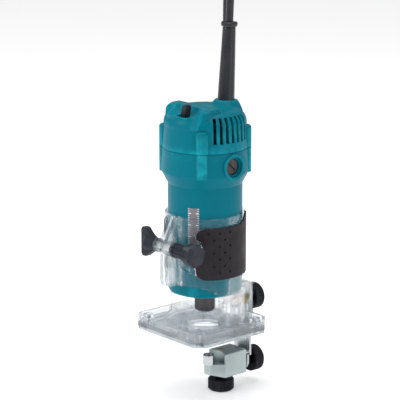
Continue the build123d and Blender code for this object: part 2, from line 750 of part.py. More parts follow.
def dome(inset):
    """The cover's turned shape, or its hollow when inset is the wall."""
    with BuildPart() as turned:
        with BuildSketch(Plane.XZ):
            with BuildLine():
                start = (HEAD_R_PART - inset, PARTING_Z)
                shoulder = (SHOULDER_R - inset, SHOULDER_Z)
                middle = (33.4 - inset, 189.6 - 0.7 * inset)
                top = (HEAD_TOP_R - 0.4 * inset, HEAD_TOP_Z - inset)
                Line((0, PARTING_Z), start)
                Line(start, shoulder)
                ThreePointArc(shoulder, middle, top)
                Line(top, (0, CROWN_Z - inset))
                Line((0, CROWN_Z - inset), (0, PARTING_Z))
            make_face()
        revolve(axis=Axis.Z)
    return turned.part


with BuildPart() as front_turret:
    with BuildSketch(Plane.XY.offset(176)):
        Circle(TURRET_R + 0.8)
    with BuildSketch(Plane.XY.offset(TURRET_TOP)):
        Circle(TURRET_R - 0.6)
    loft()
    fillet(front_turret.faces().sort_by(Axis.Z)[-1].edges(), 5.5)
    with Locations((0, -27.0, 187)):
        Box(52.0, 40.0, 30.0, mode=Mode.INTERSECT)

dome_limit = wall_profile(
    [(0, 160), (HEAD_R_PART, 160), (SHOULDER_R, SHOULDER_Z), (33.0, 190), (31.0, 205), (0, 205)]
)
with BuildPart() as collar:
    with Locations(Location((0, GUARD_BASE.Y, 180))):
        Cone(25.5, 9.6, 19.2, align=(Align.CENTER, Align.CENTER, Align.MIN))
    add(dome_limit, mode=Mode.INTERSECT)

with BuildPart() as cover_pillar:
    Cylinder(PILLAR_R, PILLAR_TOP - PARTING_Z, align=(Align.CENTER, Align.CENTER, Align.MIN))
    fillet(cover_pillar.faces().sort_by(Axis.Z)[-1].edges(), 2.6)


def scoop(radius):
    """The long bowl round the switch lever: a bar with ball ends."""
    with BuildPart() as bowl:
        add(rod((-SCOOP_HALF, SCOOP_Y, SCOOP_Z), (1, 0, 0), radius, 2 * SCOOP_HALF))
        with Locations((-SCOOP_HALF, SCOOP_Y, SCOOP_Z), (SCOOP_HALF, SCOOP_Y, SCOOP_Z)):
            Sphere(radius)
    return bowl.part


def valley(side, radius):
    """A sloping round hollow beside the front turret."""
    angle = radians(-90 + side * VALLEY_ANGLE)
    low = Vector(43.5 * cos(angle), 43.5 * sin(angle), 182)
    high = Vector(25.0 * cos(angle), 25.0 * sin(angle), 206)
    return rod(low, high - low, radius, 34.0)


cover_hollow = dome(COVER_WALL) - scoop(SCOOP_R + COVER_WALL)
for spot in pillar_spots:
    cover_hollow = cover_hollow - Pos(spot[0], spot[1], PARTING_Z) * Cylinder(
        PILLAR_R, 40, align=(Align.CENTER, Align.CENTER, Align.CENTER)
    )
for side in (-1, 1):
    cover_hollow = cover_hollow - valley(side, VALLEY_R + COVER_WALL)
    cover_hollow = cover_hollow - Pos(side * 8.0, 26.0, 176.0) * Box(6.0, 14.4, 7.0)

with BuildPart() as rear_cover:
    add(dome(0))
    add(front_turret.part)
    add(collar.part)
    with Locations(*[(x, y, PARTING_Z) for x, y in pillar_spots]):
        add(cover_pillar.part)
    add(scoop(SCOOP_R), mode=Mode.SUBTRACT)
    add([valley(side, VALLEY_R) for side in (-1, 1)], mode=Mode.SUBTRACT)
    add(cover_hollow, mode=Mode.SUBTRACT)
    # pocket and passage for the cord guard, bores for the cord clamp screws
    add(rod(GUARD_BASE - guard_axis * 11, guard_axis, 10.3, 5.6), mode=Mode.SUBTRACT)
    add(rod(GUARD_BASE - guard_axis * 11, guard_axis, 7.45, 30), mode=Mode.SUBTRACT)
    for x in (-8.0, 8.0):
        add(rod((x, 18.0, 176.0), (0, 1, 0), 1.55, 7.0), mode=Mode.SUBTRACT)
    # air inlets
    for side in (0, 180):
        for index in range(VENT_COUNT):
            turn = side + VENT_STEP * (index - (VENT_COUNT - 1) / 2)
            with Locations(Location((0, 0, 0), (0, 0, turn))):
                with Locations(((VENT_R[0] + VENT_R[1]) / 2, 0, (VENT_Z[0] + VENT_Z[1]) / 2)):
                    Box(VENT_R[1] - VENT_R[0], VENT_WIDTH, VENT_Z[1] - VENT_Z[0], mode=Mode.SUBTRACT)
    # lever slot and screw holes
    with BuildSketch(Plane.XY.offset(186)):
        with Locations((0, LEVER_Y)):
            RectangleRounded(13.0, 7.0, 1.6)
    extrude(amount=20, mode=Mode.SUBTRACT)
    with BuildSketch(Plane.XY.offset(PARTING_Z)):
        with Locations(*pillar_spots):
            Circle(COVER_SCREW_R - 0.35)
    extrude(amount=13, mode=Mode.SUBTRACT)
save(rear_cover.part, "rear_cover")

with BuildPart() as air_baffles:
    for side in (0, 180):
        add(sector(*BAFFLE_R, side, 33.0, *BAFFLE_Z))
save(air_baffles.part, "air_baffles")

with BuildPart() as cover_screws:
    with Locations(*[(x, y, PILLAR_BOTTOM + 5.0) for x, y in pillar_spots]):
        Cylinder(COVER_HEAD_R - 0.25, 3.4, align=(Align.CENTER, Align.CENTER, Align.MIN))
        Cylinder(COVER_SCREW_R - 0.4, 26.0, align=(Align.CENTER, Align.CENTER, Align.MIN))
    with Locations(*[(x, y, PILLAR_BOTTOM + 5.0) for x, y in pillar_spots]):
        Box(3.6, 0.8, 2.4, mode=Mode.SUBTRACT)
        Box(0.8, 3.6, 2.4, mode=Mode.SUBTRACT)
save(cover_screws.part, "cover_screws")

# ---------------------------------------------------------------- spindle line
spindle_shaft = wall_profile(
    [
        (3.2, 46.0),
        (4.6, 40.0),
        (6.0, 24.0),
        (7.0, 24.0),
        (7.0, BEARING_LOW_Z[0] - 0.1),
        (5.0, BEARING_LOW_Z[0] - 0.1),
        (5.0, BEARING_LOW_Z[1] + 0.1),
        (6.0, BEARING_LOW_Z[1] + 0.1),
        (6.0, BEARING_TOP_Z[0] - 0.2),
        (4.0 - RUN_GAP, BEARING_TOP_Z[0] - 0.2),
        (4.0 - RUN_GAP, SHAFT_TOP - 0.5),
        (4.0 - RUN_GAP - 0.5, SHAFT_TOP),
        (0, SHAFT_TOP),
        (0, 46.0),
    ]
)
save(spindle_shaft, "spindle_shaft")

with BuildPart() as collet_cone:
    add(
        wall_profile(
            [
                (SHANK_R, 18.2),
                (5.0, 18.2),
                (6.3, 23.3),
                (5.9, 24.2),
                (4.6, 39.0),
                (SHANK_R, 39.0),
            ]
        )
    )
    for turn in (0, 90):
        with Locations(Location((0, 0, 26.0), (0, 0, turn))):
            Box(20, 0.7, 16.0, mode=Mode.SUBTRACT)
save(collet_cone.part, "collet_cone")

with BuildPart() as collet_nut:
    with BuildSketch(Plane.XY.offset(NUT_Z[0])):
        RegularPolygon(NUT_FLATS / 2, 6, major_radius=False, rotation=13)
    extrude(amount=NUT_Z[1] - NUT_Z[0])
    add(
        wall_profile(
            [
                (0, NUT_Z[0]),
                (7.2, NUT_Z[0]),
                (9.9, NUT_Z[0] + 2.6),
                (9.9, NUT_Z[1] - 0.9),
                (8.8, NUT_Z[1]),
                (0, NUT_Z[1]),
            ]
        ),
        mode=Mode.INTERSECT,
    )
    add(
        wall_profile(
            [
                (0, NUT_Z[0]),
                (4.4, NUT_Z[0]),
                (4.4, 17.6),
                (5.2, 18.1),
                (6.6, 23.4),
                (7.1, 23.8),
                (7.1, NUT_Z[1]),
                (0, NUT_Z[1]),
            ]
        ),
        mode=Mode.SUBTRACT,
    )
save(collet_nut.part, "collet_nut")


def ball_bearing(r_in, r_out, z_range, name):
    """A sealed ball bearing: two race rings and the seal between them."""
    low, high = z_range
    middle = (r_in + r_out) / 2
    save(
        wall_profile(
            [
                (r_in, low),
                (middle - 1.8, low),
                (middle - 1.6, low + 0.4),
                (middle + 1.6, low + 0.4),
                (middle + 1.8, low),
                (r_out, low),
                (r_out, high),
                (middle + 1.8, high),
                (middle + 1.6, high - 0.4),
                (middle - 1.6, high - 0.4),
                (middle - 1.8, high),
                (r_in, high),
            ]
        ),
        name,
    )


ball_bearing(5.0 + RUN_GAP, BEARING_LOW_R, BEARING_LOW_Z, "bearing_low")
ball_bearing(4.0, BEARING_TOP_R, BEARING_TOP_Z, "bearing_top")

with BuildPart() as cooling_fan:
    with BuildSketch(Plane.XY.offset(50.0)):
        Circle(26.0)
        Circle(6.0, mode=Mode.SUBTRACT)
    extrude(amount=1.4)
    with BuildSketch(Plane.XY.offset(50.0)):
        Circle(10.0)
        Circle(6.0, mode=Mode.SUBTRACT)
    extrude(amount=12.0)
    with BuildSketch(Plane.XY.offset(51.4)):
        with PolarLocations(17.6, 12):
            Rectangle(15.6, 1.3, rotation=0)
    extrude(amount=9.0)
save(cooling_fan.part, "cooling_fan")

with BuildPart() as armature_core:
    with BuildSketch(Plane.XY.offset(CORE_Z[0])):
        Circle(ARMATURE_R)
        Circle(6.0, mode=Mode.SUBTRACT)
        with PolarLocations(12.6, 12):
            Circle(2.3, mode=Mode.SUBTRACT)
        with PolarLocations(16.0, 12):
            Rectangle(5.0, 1.4, mode=Mode.SUBTRACT)
    extrude(amount=CORE_Z[1] - CORE_Z[0])
save(armature_core.part, "armature_core")

with BuildPart() as armature_windings:
    for low, high in ((63.5, CORE_Z[0]), (CORE_Z[1], 126.0)):
        with BuildSketch(Plane.XY.offset(low)):
            Circle(15.2)
            Circle(6.2, mode=Mode.SUBTRACT)
        extrude(amount=high - low)
    outer_rims = armature_windings.edges().filter_by(GeomType.CIRCLE).filter_by(lambda e: e.radius > 15)
    fillet(outer_rims, 2.4)
    with BuildSketch(Plane.XY.offset(CORE_Z[0] - 1)):
        with PolarLocations(12.6, 12):
            Circle(2.2)
    extrude(amount=CORE_Z[1] - CORE_Z[0] + 2)
save(armature_windings.part, "armature_windings")

with BuildPart() as commutator:
    with BuildSketch(Plane.XY.offset(143.0)):
        Circle(11.0)
        Circle(6.0, mode=Mode.SUBTRACT)
        with PolarLocations(11.0, 24):
            Rectangle(1.2, 0.5, mode=Mode.SUBTRACT)
    extrude(amount=14.0)
    with BuildSketch(Plane.XY.offset(140.5)):
        Circle(12.0)
        Circle(6.0, mode=Mode.SUBTRACT)
    extrude(amount=2.5)
save(commutator.part, "commutator")

# ---------------------------------------------------------------- field
leg_angles = (30, 150, 210, 330)
with BuildPart() as field_core:
    with BuildSketch(Plane.XY.offset(FIELD_Z[0])):
        Circle(FIELD_R)
        Circle(FIELD_BORE_R, mode=Mode.SUBTRACT)
    extrude(amount=FIELD_Z[1] - FIELD_Z[0])
    for angle in leg_angles:
        add(sector(20.3, 26.2, angle, 8.2, FIELD_Z[0] - 1, FIELD_Z[1] + 1), mode=Mode.SUBTRACT)
save(field_core.part, "field_core")

with BuildPart() as field_windings:
    for side in (90, 270):
        for low in (FIELD_Z[0] - 6.5, FIELD_Z[1] + 0.1):
            add(sector(20.5, 26.0, side, 68.0, low, low + 6.4))
    for angle in leg_angles:
        add(sector(20.5, 26.0, angle, 8.0, FIELD_Z[0] - 1, FIELD_Z[1] + 1))
save(field_windings.part, "field_windings")

# ------------------------------------------------------------ upper bearing
with BuildPart() as bearing_bracket:
    with BuildSketch(Plane.XY.offset(158.6)):
        Circle(13.6)
        Circle(8.0, mode=Mode.SUBTRACT)
    extrude(amount=1.4)
    with BuildSketch(Plane.XY.offset(BEARING_TOP_Z[0])):
        Circle(13.6)
        Circle(BEARING_TOP_R + 0.02, mode=Mode.SUBTRACT)
    extrude(amount=7.0)
    with BuildSketch(Plane.XY.offset(158.6)):
        for angle in (65, 115, 245, 295):
            with Locations(Location((0, 0), angle)):
                with Locations((23.3, 0)):
                    Rectangle(20.6, 7.0)
        Circle(13.0, mode=Mode.SUBTRACT)
    extrude(amount=3.2)
save(bearing_bracket.part, "bearing_bracket")

# ---------------------------------------------------------------- brushes
with BuildPart() as holder:
    with BuildSketch(Plane.YZ.offset(12.4)):
        with Locations((0, BRUSH_Z)):
            Rectangle(8.2, 8.2)
            Rectangle(6.3, 5.3, mode=Mode.SUBTRACT)
    extrude(amount=16.2)
    with BuildSketch(Plane.YZ.offset(28.6)):
        with Locations((0, BRUSH_Z)):
            Circle(CAP_R)
            Rectangle(6.3, 5.3, mode=Mode.SUBTRACT)
    extrude(amount=0.9)
with BuildPart() as brush:
    with Locations((11.3, 0, BRUSH_Z)):
        Box(11.0, 6.1, 5.1, align=(Align.MIN, Align.CENTER, Align.CENTER))
with BuildPart() as brush_spring:
    with BuildLine() as coil:
        Helix(1.28, 6.4, 1.9, center=(0, 0, 0), direction=(0, 0, 1))
    with BuildSketch(Plane(coil.edge() @ 0, z_dir=coil.edge() % 0)):
        Circle(0.3)
    sweep()
spring_on_x = Plane(origin=(22.8, 0, BRUSH_Z), x_dir=(0, 1, 0), z_dir=(1, 0, 0)).location
with BuildPart() as cap:
    add(rod((CAP_X[0], 0, BRUSH_Z), (1, 0, 0), CAP_R, CAP_X[1] - CAP_X[0]))
    chamfer(cap.faces().sort_by(Axis.X)[-1].edges(), 0.5)
    with Locations(Location((CAP_X[1], 0, BRUSH_Z), (-42, 0, 0))):
        Box(2.6, 10.0, 1.5, mode=Mode.SUBTRACT)
for label, about in (("right", None), ("left", Plane.YZ)):
    pieces = {
        "brush_holder": holder.part,
        "carbon_brush": brush.part,
        "brush_spring": spring_on_x * brush_spring.part,
        "brush_cap": cap.part,
    }
    for name, solid in pieces.items():
        save(mirror(solid, about=about) if about else solid, f"{name}_{label}")

# ---------------------------------------------------------------- switch
with BuildPart() as switch_body:
    with Locations((0, -24.0, 171.5)):
        Box(17.0, 11.6, 15.0, align=(Align.CENTER, Align.CENTER, Align.MIN))
    with Locations((0, LEVER_Y, 176.5)):
        Box(12.4, 6.4, 20, align=(Align.CENTER, Align.CENTER, Align.MIN), mode=Mode.SUBTRACT)
save(switch_body.part, "switch_body")

with BuildPart() as lever_upright:
    with Locations(Location((0, LEVER_Y, LEVER_PIVOT_Z), (90, 0, 0))):
        Cylinder(2.4, 5.6)
    with BuildSketch(Plane.XZ.offset(-LEVER_Y - 2.8)):
        with BuildLine():
            Polyline(
                (-1.7, LEVER_PIVOT_Z),
                (-1.9, 190.0),
                (-2.6, 193.0),
                (-2.6, LEVER_TOP - 1.6),
                (-1.4, LEVER_TOP + 0.3),
                (1.4, LEVER_TOP + 0.3),
                (2.6, LEVER_TOP - 1.6),
                (2.6, 193.0),
                (1.9, 190.0),
                (1.7, LEVER_PIVOT_Z),
                close=True,
            )
        make_face()
    extrude(amount=5.6)
    top_edges = lever_upright.edges().filter_by(Axis.Y).group_by(Axis.Z)[-1]
    fillet(top_edges, 0.9)
lever_axis = Axis((0, LEVER_Y, LEVER_PIVOT_Z), (0, 1, 0))
switch_lever = lever_upright.part.rotate(lever_axis, LEVER_LEAN)
save(switch_lever, "switch_lever")

with BuildPart() as noise_capacitor:
    with Locations((-12.5, 0.0, 173.0)):
        Box(9.0, 18.0, 12.0)
    fillet(noise_capacitor.edges(), 1.2)
save(noise_capacitor.part, "noise_capacitor")

# ------------------------------------------------------- cord guard and clamp
guard_profile = [
    (3.3, -9.0),
    (9.8, -9.0),
    (9.8, -6.2),
    (7.3, -6.2),
    (7.3, 2.0),
    (5.6, GUARD_LENGTH - 5.6),
    (5.4, GUARD_LENGTH - 4.4),
    (6.6, GUARD_LENGTH - 3.8),
    (7.15, GUARD_LENGTH - 2.6),
    (7.15, GUARD_LENGTH - 1.2),
    (6.4, GUARD_LENGTH),
    (3.3, GUARD_LENGTH),
]
save(guard_plane.location * wall_profile(guard_profile), "cord_guard")
save(rod(GUARD_BASE - guard_axis * 24, guard_axis, CORD_R, 24 + GUARD_LENGTH), "supply_lead")

with BuildPart() as cord_clamp:
    with Locations((0, 16.8, 176.0)):
        Box(21.0, 4.0, 6.0)
    with Locations((-8.0, 17.0, 176.0), (8.0, 17.0, 176.0)):
        with Locations(Location((0, 0, 0), (90, 0, 0))):
            Cylinder(1.6, 10, mode=Mode.SUBTRACT)
save(cord_clamp.part, "cord_clamp")
with BuildPart() as clamp_screws:
    for x in (-8.0, 8.0):
        add(rod((x, 12.8, 176.0), (0, 1, 0), 2.9, 2.0))
        add(rod((x, 12.8, 176.0), (0, 1, 0), 1.5, 11.0))
save(clamp_screws.part, "clamp_screws")

# ---------------------------------------------------------------- mains cord
guard_tip = GUARD_BASE + guard_axis * GUARD_LENGTH
arch_start = guard_tip + guard_axis * CORD_RISE
arch_end = arch_start + AWAY * ARCH_SPAN - ACROSS * 4.7
descent_middle = arch_end - ACROSS * 1.2 - Vector(0, 0, (arch_end.Z - HANK_TOP) / 2)
hank_entry = Vector(descent_middle.X, descent_middle.Y, HANK_TOP)
route = [guard_tip, arch_start, arch_end, descent_middle, hank_entry]
turn_radii = []
for before, corner, after in zip(route, route[1:], route[2:]):
    run_in = corner - before
    run_out = after - corner
    turn = radians(run_in.get_angle(run_out))
    shorter = min(run_in.length, run_out.length)
    turn_radii.append(0.45 * shorter / tan(turn / 2))
print("cord corner radii", [round(r, 1) for r in turn_radii])
with BuildPart() as mains_cord:
    with BuildLine() as cord_line:
        FilletPolyline(*route, radius=turn_radii)
    with BuildSketch(Plane(route[0], z_dir=guard_axis)):
        Circle(CORD_R)
    sweep()
save(mains_cord.part, "mains_cord")
cord_path = sum(edge.length for edge in cord_line.edges())
print("cord path", round(cord_path, 1), "volume by path", round(cord_path * pi * CORD_R**2, 1))

# tied hank: its layers run away from the router, its width runs across
right_leg = Vector(route[-1].X, route[-1].Y, 0)
hank_middle = right_leg - ACROSS * HANK_FOLD_R + AWAY * ((HANK_LAYERS - 1) * CORD_R)
hank_wide = 2 * HANK_FOLD_R + 2 * CORD_R
hank_deep = 2 * CORD_R * HANK_LAYERS
hank_plane = Plane(origin=hank_middle, x_dir=ACROSS, z_dir=(0, 0, 1))
hank_height = HANK_TOP - HANK_BOTTOM
plug_y = hank_deep / 2 + PLUG_SIZE[1] / 2 + 0.1
tail_deep = plug_y + CORD_R - hank_deep / 2
with BuildPart() as cord_hank:
    with Locations((0, 0, HANK_BOTTOM + hank_height / 2)):
        Box(hank_wide, hank_deep, hank_height)
    fillet(cord_hank.edges().filter_by(Axis.Y).group_by(Axis.Z)[0], HANK_FOLD_R)
    with Locations((0, (hank_deep + tail_deep) / 2, (HANK_TOP + PLUG_TOP) / 2)):
        Box(hank_wide, tail_deep, HANK_TOP - PLUG_TOP)
    with Locations((0, 0, HANK_BOTTOM + hank_height / 2)):
        Box(hank_wide - 4 * CORD_R, 3 * hank_deep, hank_height - 4 * CORD_R, mode=Mode.SUBTRACT)
    # the last turn runs down to the plug
    with Locations((PLUG_X, (hank_deep + tail_deep) / 2, PLUG_TOP + 10.0)):
        Box(3 * CORD_R, tail_deep, 20.0)
save(hank_plane.location * cord_hank.part, "cord_hank")

with BuildPart() as cord_tie:
    with Locations((0, tail_deep / 2, TIE_Z)):
        Box(hank_wide + 2 * TIE_WALL, hank_deep + tail_deep + 2 * TIE_WALL, 7.0)
        Box(hank_wide + 0.1, hank_deep + tail_deep + 0.1, 7.0, mode=Mode.SUBTRACT)
save(hank_plane.location * cord_tie.part, "cord_tie")

with BuildPart() as plug_body:
    with BuildSketch(Plane.XY.offset(PLUG_TOP)):
        with Locations((PLUG_X, plug_y)):
            Circle(4.4)
    with BuildSketch(Plane.XY.offset(PLUG_TOP - 17.0)):
        with Locations((PLUG_X, plug_y)):
            Circle(6.2)
    loft()
    with BuildSketch(Plane.XY.offset(PLUG_TOP - 41.0)):
        with Locations((PLUG_X, plug_y)):
            RectangleRounded(*PLUG_SIZE, 5.0)
    extrude(amount=24.0)
    fillet(plug_body.faces().sort_by(Axis.Z)[0].edges(), 1.0)
save(hank_plane.location * plug_body.part, "plug_body")
with BuildPart() as plug_pins:
    for side in (-1, 1):
        with Locations((PLUG_X + side * 6.35, plug_y, PLUG_TOP - 41.0)):
            Box(1.5, 6.3, 17.5, align=(Align.CENTER, Align.CENTER, Align.MAX))
save(hank_plane.location * plug_pins.part, "plug_pins")
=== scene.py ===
"""Looks of the trim router: materials, scale ticks, cord and studio."""

import json
from math import cos, radians, sin

import bpy
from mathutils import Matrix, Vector


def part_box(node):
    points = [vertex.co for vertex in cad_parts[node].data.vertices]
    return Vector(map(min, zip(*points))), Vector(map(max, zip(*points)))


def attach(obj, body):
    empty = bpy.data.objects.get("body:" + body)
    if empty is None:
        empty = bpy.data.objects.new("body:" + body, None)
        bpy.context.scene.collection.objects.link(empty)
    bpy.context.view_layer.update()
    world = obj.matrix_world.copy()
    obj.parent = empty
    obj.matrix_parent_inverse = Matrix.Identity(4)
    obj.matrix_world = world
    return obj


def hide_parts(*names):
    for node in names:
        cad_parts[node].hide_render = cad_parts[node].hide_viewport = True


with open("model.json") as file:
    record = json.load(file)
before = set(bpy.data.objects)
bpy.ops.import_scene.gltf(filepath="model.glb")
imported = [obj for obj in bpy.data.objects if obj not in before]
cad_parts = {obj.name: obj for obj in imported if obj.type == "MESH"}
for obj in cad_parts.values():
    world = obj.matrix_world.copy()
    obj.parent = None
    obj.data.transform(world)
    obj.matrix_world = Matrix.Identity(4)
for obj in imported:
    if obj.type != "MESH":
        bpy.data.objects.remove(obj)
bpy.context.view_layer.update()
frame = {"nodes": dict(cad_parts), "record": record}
nodes = frame["nodes"]
MM = 0.001

# Where the scale strip sits round the motor's barrel
SCALE_MIDDLE_DEG = -58.9
SCALE_HALF_DEG = 8.7
# Pitch, half width and inner end (a share of the strip's half width) of each row of ticks
SCALE_TICKS = ((2 * MM, 0.30 * MM, 0.72), (10 * MM, 0.45 * MM, 0.45))
# The clear plastic is denser up to the plate's rim and thinner above the second height
RIM_TOP = 11.5 * MM
PLATE_FADE_END = 18.0 * MM

# ------------------------------------------------------------------ camera
scene = bpy.context.scene
scene.view_settings.view_transform = "Standard"
camera_data = bpy.data.cameras.new("camera")
camera_data.lens = 175.0
camera_data.sensor_width = 36.0
camera_data.clip_start = 0.05
camera_data.clip_end = 20.0
camera = bpy.data.objects.new("camera", camera_data)
scene.collection.objects.link(camera)
camera_at = Vector((1.2206, -1.0595, 0.5130))
camera_aim = Vector((-0.0029, -0.0033, 0.1143))
camera.location = camera_at
camera.rotation_euler = (camera_aim - camera_at).to_track_quat("-Z", "Y").to_euler()
scene.camera = camera


# ------------------------------------------------------------ node helpers
def new_material(name):
    """An empty material with its output, its shader and its node tree."""
    material = bpy.data.materials.new(name)
    material.use_nodes = True
    tree = material.node_tree
    tree.nodes.clear()
    output = tree.nodes.new("ShaderNodeOutputMaterial")
    shader = tree.nodes.new("ShaderNodeBsdfPrincipled")
    tree.links.new(shader.outputs["BSDF"], output.inputs["Surface"])
    return material, tree, shader


def place(tree):
    """Coordinates fixed to the piece."""
    return tree.nodes.new("ShaderNodeTexCoord").outputs["Object"]


def noise(tree, scale, detail=3.0, rough=0.5, stretch=(1, 1, 1)):
    """A noise value; stretch scales the coordinates before it."""
    vector = place(tree)
    if stretch != (1, 1, 1):
        mapping = tree.nodes.new("ShaderNodeMapping")
        mapping.inputs["Scale"].default_value = stretch
        tree.links.new(vector, mapping.inputs["Vector"])
        vector = mapping.outputs["Vector"]
    texture = tree.nodes.new("ShaderNodeTexNoise")
    texture.inputs["Scale"].default_value = scale
    texture.inputs["Detail"].default_value = detail
    texture.inputs["Roughness"].default_value = rough
    tree.links.new(vector, texture.inputs["Vector"])
    return texture.outputs["Fac"]


def spread(tree, value, low, high, to_low, to_high):
    """Maps a value's range onto another, clamped."""
    node = tree.nodes.new("ShaderNodeMapRange")
    limits = {"From Min": low, "From Max": high, "To Min": to_low, "To Max": to_high}
    for socket, number in limits.items():
        node.inputs[socket].default_value = number
    tree.links.new(value, node.inputs["Value"])
    return node.outputs["Result"]


def math(tree, kind, first, second):
    """One arithmetic step; each operand is a number or a socket."""
    node = tree.nodes.new("ShaderNodeMath")
    node.operation = kind
    for index, value in enumerate((first, second)):
        if isinstance(value, (int, float)):
            node.inputs[index].default_value = value
        else:
            tree.links.new(value, node.inputs[index])
    return node.outputs[0]


def blend_colour(tree, factor, first, second):
    """Mixes two colours; each is a tuple or a socket."""
    node = tree.nodes.new("ShaderNodeMix")
    node.data_type = "RGBA"
    tree.links.new(factor, node.inputs["Factor"])
    for socket, value in ((node.inputs[6], first), (node.inputs[7], second)):
        if isinstance(value, tuple):
            socket.default_value = (*value, 1.0)
        else:
            tree.links.new(value, socket)
    return node.outputs[2]


def bump(tree, shader, height, strength, distance=0.0002):
    """Fine relief on the shader's normal."""
    node = tree.nodes.new("ShaderNodeBump")
    node.inputs["Strength"].default_value = strength
    node.inputs["Distance"].default_value = distance
    tree.links.new(height, node.inputs["Height"])
    tree.links.new(node.outputs["Normal"], shader.inputs["Normal"])


# Edge mask: it drives real edge wear, and also the painted highlight and painted shade that some
# finishes put on their edges
def edge_wear_and_painted_light(tree, low=0.53, high=0.6):
    """1 on sharp outer edges, 0 elsewhere."""
    geometry = tree.nodes.new("ShaderNodeNewGeometry")
    return spread(tree, geometry.outputs["Pointiness"], low, high, 0.0, 1.0)


# ---------------------------------------------------------------- materials
def moulded(name, colour, lighter_tone, roughness, grain=900.0, grain_depth=0.12, coat=0.0, speck=0.06):
    """Moulded plastic: fine grain, slow colour drift, edges painted lighter, partly as wear and partly
    as a painted highlight.
    """
    material, tree, shader = new_material(name)
    drift = noise(tree, 22.0, 4.0)
    dark = tuple(c * (1 - 2 * speck) for c in colour)
    light = tuple(min(1.0, c * (1 + 1.2 * speck)) for c in colour)
    base = blend_colour(tree, drift, dark, light)
    scuffs = spread(tree, noise(tree, 260.0, 5.0, 0.65), 0.62, 0.8, 0.0, 1.0)
    edge = edge_wear_and_painted_light(tree)
    rub_and_highlight_breakup = spread(tree, noise(tree, 140.0), 0.35, 0.65, 0.25, 0.8)
    edge_wear_and_highlight_mask = math(tree, "MULTIPLY", edge, rub_and_highlight_breakup)
    base = blend_colour(tree, math(tree, "MULTIPLY", scuffs, 0.12), base, lighter_tone)
    # Sharp edges are painted lighter: partly edge wear, partly a painted highlight along the edges
    base = blend_colour(tree, edge_wear_and_highlight_mask, base, lighter_tone)
    tree.links.new(base, shader.inputs["Base Color"])
    rough = spread(tree, noise(tree, 45.0, 5.0), 0.3, 0.7, roughness - 0.05, roughness + 0.07)
    tree.links.new(rough, shader.inputs["Roughness"])
    shader.inputs["Coat Weight"].default_value = coat
    shader.inputs["Coat Roughness"].default_value = 0.18
    shader.inputs["Specular IOR Level"].default_value = 0.3
    shader.inputs["IOR"].default_value = 1.22
    bump(tree, shader, noise(tree, grain, 2.0), grain_depth)
    return material


def metal(name, colour, roughness, stretch=(1, 1, 1), grain=700.0, tarnish=0.25, depth=0.1):
    """Bare metal with a directional grain, tarnish, and edges painted brighter, partly as wear and
    partly as a painted highlight.
    """
    material, tree, shader = new_material(name)
    lines = noise(tree, grain, 3.0, 0.6, stretch)
    age = spread(tree, noise(tree, 55.0, 5.0), 0.35, 0.7, 0.0, 1.0)
    dull = tuple(c * (1 - tarnish) for c in colour)
    base = blend_colour(tree, age, colour, dull)
    # Sharp edges are painted brighter: partly edge wear, partly a painted highlight
    bright_wear_and_highlight = tuple(min(1.0, c * 1.25 + 0.04) for c in colour)
    base = blend_colour(tree, math(tree, "MULTIPLY", edge_wear_and_painted_light(tree), 0.6), base, bright_wear_and_highlight)
    tree.links.new(base, shader.inputs["Base Color"])
    shader.inputs["Metallic"].default_value = 1.0
    rough = spread(tree, lines, 0.3, 0.7, roughness - 0.07, roughness + 0.09)
    tree.links.new(rough, shader.inputs["Roughness"])
    bump(tree, shader, lines, depth, 0.0001)
    return material


def rubber(name, colour, roughness, grain=1500.0, depth=0.25, ior=1.3):
    """Rubber with dust in its grain and a soft sheen."""
    material, tree, shader = new_material(name)
    dust = spread(tree, noise(tree, 80.0, 6.0, 0.6), 0.45, 0.75, 0.0, 0.35)
    pale = tuple(c * 1.8 + 0.01 for c in colour)
    base = blend_colour(tree, dust, colour, pale)
    lighter_tone = spread(tree, noise(tree, 150.0), 0.4, 0.7, 0.0, 0.35)
    base = blend_colour(tree, math(tree, "MULTIPLY", edge_wear_and_painted_light(tree, 0.56, 0.7), lighter_tone), base, pale)
    tree.links.new(base, shader.inputs["Base Color"])
    rough = spread(tree, noise(tree, 60.0), 0.3, 0.7, roughness - 0.06, roughness + 0.08)
    tree.links.new(rough, shader.inputs["Roughness"])
    shader.inputs["Sheen Weight"].default_value = 0.04
    shader.inputs["Specular IOR Level"].default_value = 0.35
    shader.inputs["IOR"].default_value = ior
    bump(tree, shader, noise(tree, grain, 2.0), depth)
    return material


def clear(name, tint, alpha, plate_alpha, patches):
    """Clear moulded polycarbonate with flow marks, hairlines, frosted edges and a darker edge tint that
    is painted shade.
    """
    material, tree, shader = new_material(name)
    flow = noise(tree, 18.0, 2.0, 0.5, (1, 1, 0.35))
    edge = edge_wear_and_painted_light(tree, 0.54, 0.66)
    hairs = spread(tree, noise(tree, 420.0, 5.0, 0.7, (1, 0.12, 1)), 0.62, 0.78, 0.0, 0.10)
    # The edge tint is darkened as painted shade; the same edge mask also frosts the roughness and raises
    # the alpha
    painted_edge_shade = tuple(c * d for c, d in zip(tint, (0.66, 0.75, 0.82)))
    base = blend_colour(tree, edge, tint, painted_edge_shade)
    patch = spread(tree, noise(tree, 85.0, 1.0, 0.5, (1, 1, 1.6)), 0.53, 0.60, 0.0, patches)
    base = blend_colour(tree, patch, base, (0.30, 0.40, 0.50))
    tree.links.new(base, shader.inputs["Base Color"])
    rough = math(tree, "ADD", math(tree, "MULTIPLY", edge, 0.15), hairs)
    tree.links.new(rough, shader.inputs["Roughness"])
    shader.inputs["Transmission Weight"].default_value = 1.0
    shader.inputs["IOR"].default_value = 1.49
    split = tree.nodes.new("ShaderNodeSeparateXYZ")
    tree.links.new(place(tree), split.inputs[0])
    cover = spread(tree, split.outputs["Z"], RIM_TOP, PLATE_FADE_END, plate_alpha, alpha)
    cover = math(tree, "ADD", cover, math(tree, "MULTIPLY", edge, 0.22))
    tree.links.new(cover, shader.inputs["Alpha"])
    bump(tree, shader, flow, 0.04, 0.0004)
    return material


